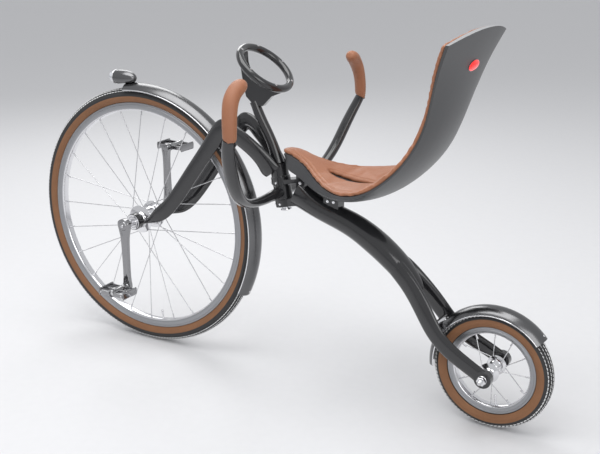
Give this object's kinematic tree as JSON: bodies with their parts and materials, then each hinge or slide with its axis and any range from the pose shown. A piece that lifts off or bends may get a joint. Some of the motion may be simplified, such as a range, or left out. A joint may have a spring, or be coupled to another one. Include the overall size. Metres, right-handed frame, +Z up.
{
  "type": "semi-recumbent bicycle",
  "caption": "Low cruiser bicycle with a large pedalled and steered front wheel, curved black frame, bucket seat with tan leather pad, wide handlebars and a small rear wheel.",
  "frame": {"origin": "on the seat pad's surface, on the centre plane, under the rider", "axes": "+X forward, +Y to the rider's left, +Z up; both tyres touch the plane z = -0.5455"},
  "size_m": [1.483, 0.6284, 0.908],
  "materials": {
    "black": "gloss",
    "tyre": "matt with tan side walls",
    "rim": "satin",
    "spoke": "polished",
    "mudguard": "polished graphite",
    "leather": "satin tan",
    "shell": "satin dark grey",
    "red_lens": "glowing red",
    "clear_lens": "clear",
    "chrome": "polished"
  },
  "bodies": {
    "frame": {"frame_spine": "black", "rear_blade_left": "black", "rear_blade_right": "black", "head_lug_lower": "black", "head_lug_upper": "black", "seat_shell": "shell", "seat_pad": "leather", "seat_mount_front": "black", "seat_mount_rear": "black", "rear_mudguard": "mudguard", "rear_axle": "chrome", "rear_nut_left": "chrome", "rear_nut_right": "chrome", "tail_light": "red_lens", "rear_guard_bridge": "black"},
    "steering": {"pivot_pin": "chrome", "bar_sleeve": "black", "fork_crown": "black", "fork_leg_left": "black", "fork_leg_right": "black", "handlebar_left": "black", "handlebar_right": "black", "grip_left": "leather", "grip_right": "leather", "mast": "black", "display_bracket": "black", "display_ring": "black", "front_mudguard": "mudguard", "headlight_shell": "chrome", "headlight_lens": "clear_lens", "front_axle": "chrome", "front_guard_bridge": "black"},
    "front_wheel": {"front_tyre": "tyre", "front_rim": "rim", "front_hub": "chrome", "front_spokes": "spoke"},
    "rear_wheel": {"rear_tyre": "tyre", "rear_rim": "rim", "rear_hub": "chrome", "rear_spokes": "spoke"},
    "crankset": {"crank_spindle": "chrome", "crank_arm_left": "chrome", "crank_arm_right": "chrome", "pedal_pin_left": "chrome", "pedal_pin_right": "chrome"},
    "pedal_left": {"pedal_left": "chrome"},
    "pedal_right": {"pedal_right": "chrome"}
  },
  "joints": [
    {"name": "steering_turn", "type": "hinge", "parent": "frame", "child": "steering", "pos_m": [0.267, 0, -0.0995], "axis": [0.2028, 0, 0.9792], "range_deg": [-35, 35]},
    {"name": "front_wheel_spin", "type": "hinge", "parent": "steering", "child": "front_wheel", "pos_m": [0.706, 0, -0.1955], "axis": [0, 1, 0], "continuous": true},
    {"name": "rear_wheel_spin", "type": "hinge", "parent": "frame", "child": "rear_wheel", "pos_m": [-0.285, 0, -0.4035], "axis": [0, 1, 0], "continuous": true},
    {"name": "crank_spin", "type": "hinge", "parent": "steering", "child": "crankset", "pos_m": [0.706, 0, -0.1955], "axis": [0, 1, 0], "continuous": true},
    {"name": "pedal_left_spin", "type": "hinge", "parent": "crankset", "child": "pedal_left", "pos_m": [0.706, 0.135, -0.3655], "axis": [0, 1, 0], "continuous": true},
    {"name": "pedal_right_spin", "type": "hinge", "parent": "crankset", "child": "pedal_right", "pos_m": [0.706, -0.135, -0.0255], "axis": [0, 1, 0], "continuous": true}
  ]
}
